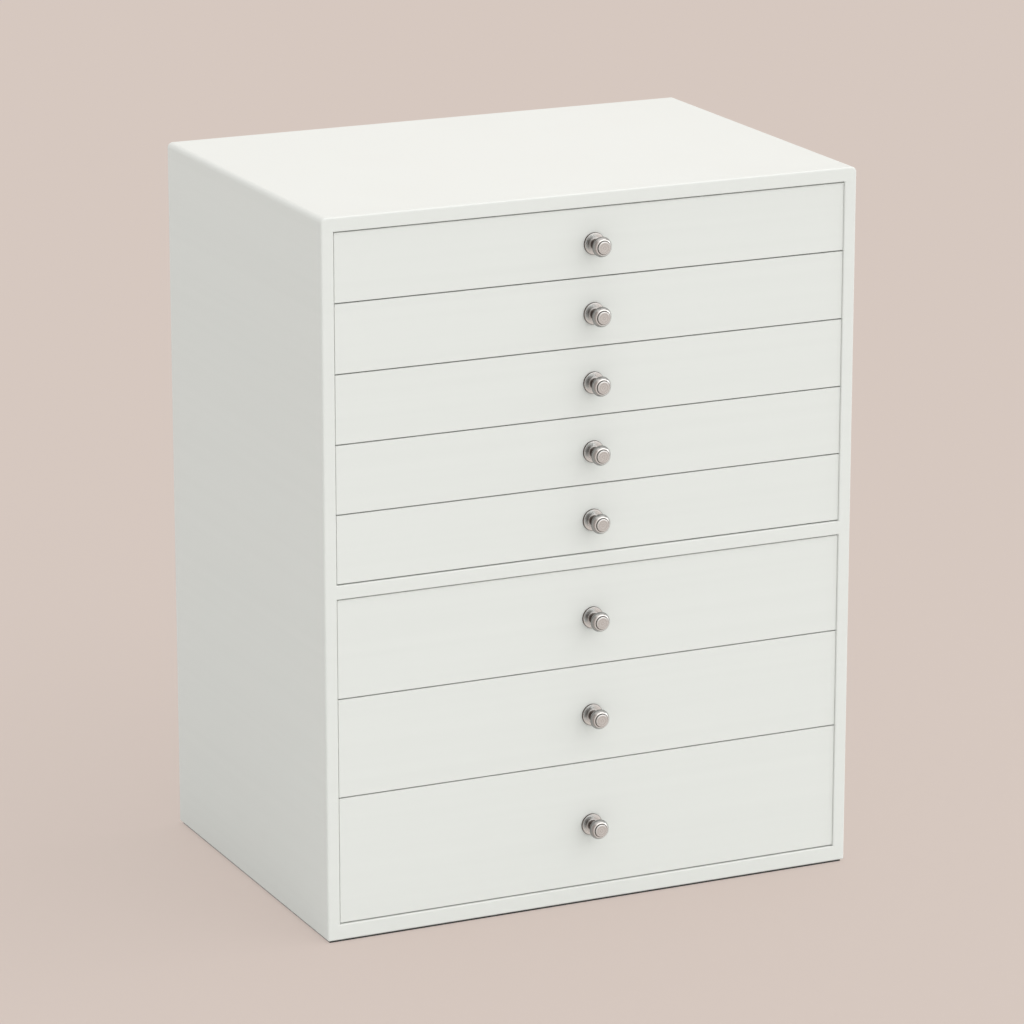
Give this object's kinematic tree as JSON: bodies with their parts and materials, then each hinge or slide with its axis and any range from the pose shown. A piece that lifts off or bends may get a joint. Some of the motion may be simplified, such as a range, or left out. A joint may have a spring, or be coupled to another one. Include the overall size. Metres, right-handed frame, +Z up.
{
  "type": "jewelry drawer organizer",
  "caption": "White lacquered tabletop cabinet with stacked sliding drawers, turned metal knobs and velvet lined, divided compartments for jewelry.",
  "frame": {"origin": "centre of the cabinet's underside, on the face of the felt base", "axes": "+X to the right seen from the front, -Y the way the drawers open, +Z up"},
  "size_m": [0.29, 0.2128, 0.367],
  "materials": {
    "white_lacquer": "satin white lacquer on fibreboard",
    "plain_wood": "sanded hardwood",
    "drawer_wood": "white foiled fibreboard",
    "velvet": "short pile velvet",
    "felt": "pressed felt",
    "satin_nickel": "satin nickel plating, turned"
  },
  "bodies": {
    "cabinet": {"left_side_panel": "white_lacquer", "right_side_panel": "white_lacquer", "top_panel": "white_lacquer", "bottom_panel": "white_lacquer", "back_panel": "white_lacquer", "middle_shelf": "white_lacquer", "left_runners": "plain_wood", "right_runners": "plain_wood", "felt_base": "felt"},
    "drawer_1": {"drawer_1_front": "white_lacquer", "drawer_1_box": "drawer_wood", "drawer_1_lining": "velvet", "drawer_1_ring_rolls": "velvet", "drawer_1_knob": "satin_nickel"},
    "drawer_2": {"drawer_2_front": "white_lacquer", "drawer_2_box": "drawer_wood", "drawer_2_lining": "velvet", "drawer_2_dividers": "velvet", "drawer_2_knob": "satin_nickel"},
    "drawer_3": {"drawer_3_front": "white_lacquer", "drawer_3_box": "drawer_wood", "drawer_3_lining": "velvet", "drawer_3_dividers": "velvet", "drawer_3_knob": "satin_nickel"},
    "drawer_4": {"drawer_4_front": "white_lacquer", "drawer_4_box": "drawer_wood", "drawer_4_lining": "velvet", "drawer_4_dividers": "velvet", "drawer_4_knob": "satin_nickel"},
    "drawer_5": {"drawer_5_front": "white_lacquer", "drawer_5_box": "drawer_wood", "drawer_5_lining": "velvet", "drawer_5_dividers": "velvet", "drawer_5_knob": "satin_nickel"},
    "drawer_6": {"drawer_6_front": "white_lacquer", "drawer_6_box": "drawer_wood", "drawer_6_lining": "velvet", "drawer_6_dividers": "velvet", "drawer_6_knob": "satin_nickel"},
    "drawer_7": {"drawer_7_front": "white_lacquer", "drawer_7_box": "drawer_wood", "drawer_7_lining": "velvet", "drawer_7_dividers": "velvet", "drawer_7_knob": "satin_nickel"},
    "drawer_8": {"drawer_8_front": "white_lacquer", "drawer_8_box": "drawer_wood", "drawer_8_lining": "velvet", "drawer_8_knob": "satin_nickel"}
  },
  "joints": [
    {"name": "drawer_1_slide", "type": "slide", "parent": "cabinet", "child": "drawer_1", "axis": [0, -1, 0], "range_m": [0, 0.14]},
    {"name": "drawer_2_slide", "type": "slide", "parent": "cabinet", "child": "drawer_2", "axis": [0, -1, 0], "range_m": [0, 0.14]},
    {"name": "drawer_3_slide", "type": "slide", "parent": "cabinet", "child": "drawer_3", "axis": [0, -1, 0], "range_m": [0, 0.14]},
    {"name": "drawer_4_slide", "type": "slide", "parent": "cabinet", "child": "drawer_4", "axis": [0, -1, 0], "range_m": [0, 0.14]},
    {"name": "drawer_5_slide", "type": "slide", "parent": "cabinet", "child": "drawer_5", "axis": [0, -1, 0], "range_m": [0, 0.14]},
    {"name": "drawer_6_slide", "type": "slide", "parent": "cabinet", "child": "drawer_6", "axis": [0, -1, 0], "range_m": [0, 0.14]},
    {"name": "drawer_7_slide", "type": "slide", "parent": "cabinet", "child": "drawer_7", "axis": [0, -1, 0], "range_m": [0, 0.14]},
    {"name": "drawer_8_slide", "type": "slide", "parent": "cabinet", "child": "drawer_8", "axis": [0, -1, 0], "range_m": [0, 0.14]}
  ]
}
